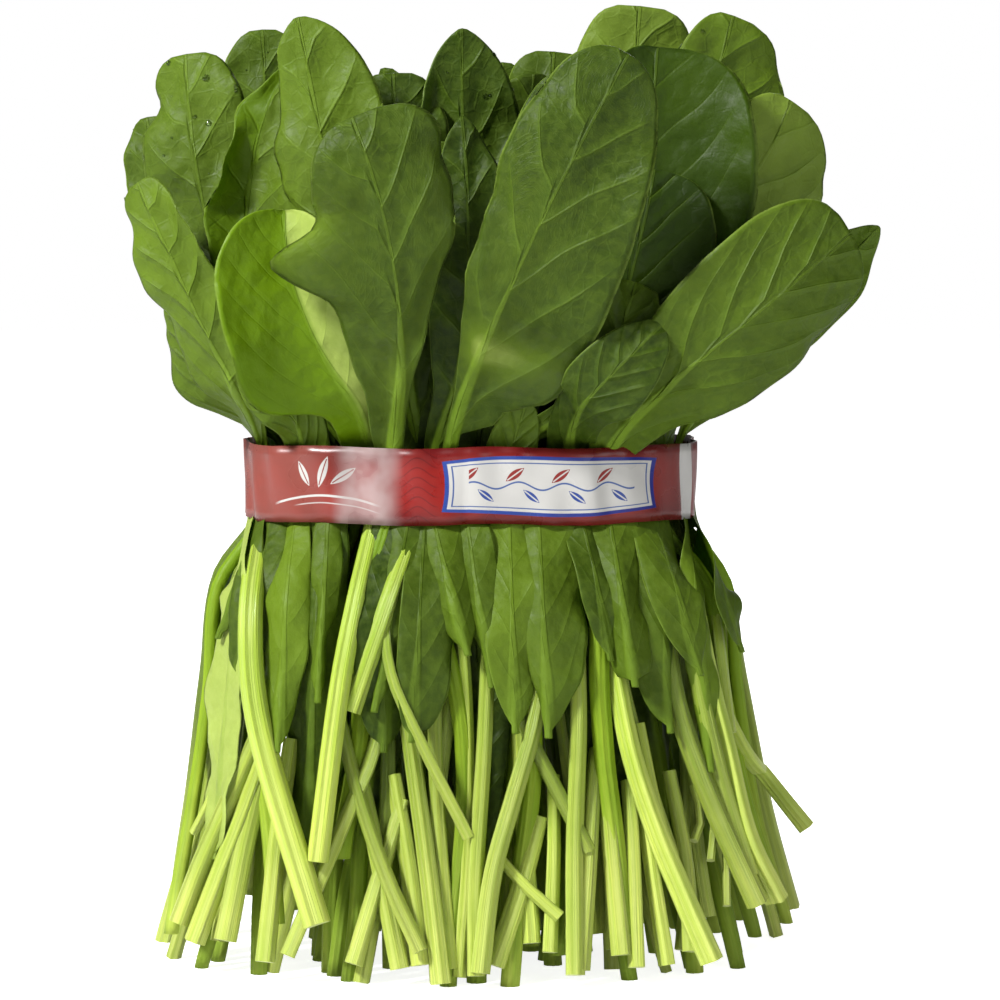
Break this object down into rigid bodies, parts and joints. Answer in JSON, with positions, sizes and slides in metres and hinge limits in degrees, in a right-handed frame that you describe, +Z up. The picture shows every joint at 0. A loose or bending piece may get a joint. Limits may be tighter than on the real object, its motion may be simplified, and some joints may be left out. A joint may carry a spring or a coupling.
{
  "type": "spinach bunch",
  "caption": "Fresh spinach leaves on long stems, gathered in a printed tie and standing on their evenly cut stem ends.",
  "frame": {"origin": "on the surface the bunch stands on, under the middle of its bounding box", "axes": "+Z up along the stems, +X to the bunch's right seen from its front, -Y the front, where the tie's printed panel is"},
  "size_m": [0.1962, 0.1478, 0.24],
  "materials": {
    "leaf": "satin",
    "tie": "gloss"
  },
  "bodies": {
    "root": {"cupped_left": "leaf", "front_left": "leaf", "front_right": "leaf", "left_back_top": "leaf", "left_edge_on": "leaf", "left_long": "leaf", "left_lower": "leaf", "left_shiny": "leaf", "left_tall": "leaf", "left_under": "leaf", "low_left": "leaf", "low_middle": "leaf", "low_right": "leaf", "middle_deep": "leaf", "middle_left": "leaf", "middle_small": "leaf", "middle_tall": "leaf", "middle_under": "leaf", "right_bright": "leaf", "right_dark": "leaf", "right_far": "leaf", "right_lower": "leaf", "right_top": "leaf", "right_under": "leaf", "right_upper": "leaf", "right_wide": "leaf", "shell1_leaf1": "leaf", "shell1_leaf2": "leaf", "shell2_leaf1": "leaf", "shell2_leaf2": "leaf", "shell2_leaf3": "leaf", "shell2_leaf4": "leaf", "shell3_leaf1": "leaf", "shell3_leaf2": "leaf", "shell3_leaf3": "leaf", "shell3_leaf4": "leaf", "shell3_leaf5": "leaf", "shell3_leaf6": "leaf", "shell4_leaf1": "leaf", "shell4_leaf2": "leaf", "shell4_leaf3": "leaf", "shell4_leaf4": "leaf", "shell5_leaf1": "leaf", "shell5_leaf2": "leaf", "shell5_leaf3": "leaf", "shell5_leaf4": "leaf", "shell5_leaf5": "leaf", "shell6_leaf1": "leaf", "shell6_leaf2": "leaf", "shell6_leaf3": "leaf", "shell6_leaf4": "leaf", "shell6_leaf5": "leaf", "shell6_leaf6": "leaf", "shell7_leaf1": "leaf", "shell7_leaf2": "leaf", "shell7_leaf3": "leaf", "shell7_leaf4": "leaf", "shell7_leaf5": "leaf", "tie": "tie", "top_right": "leaf"}
  },
  "joints": []
}
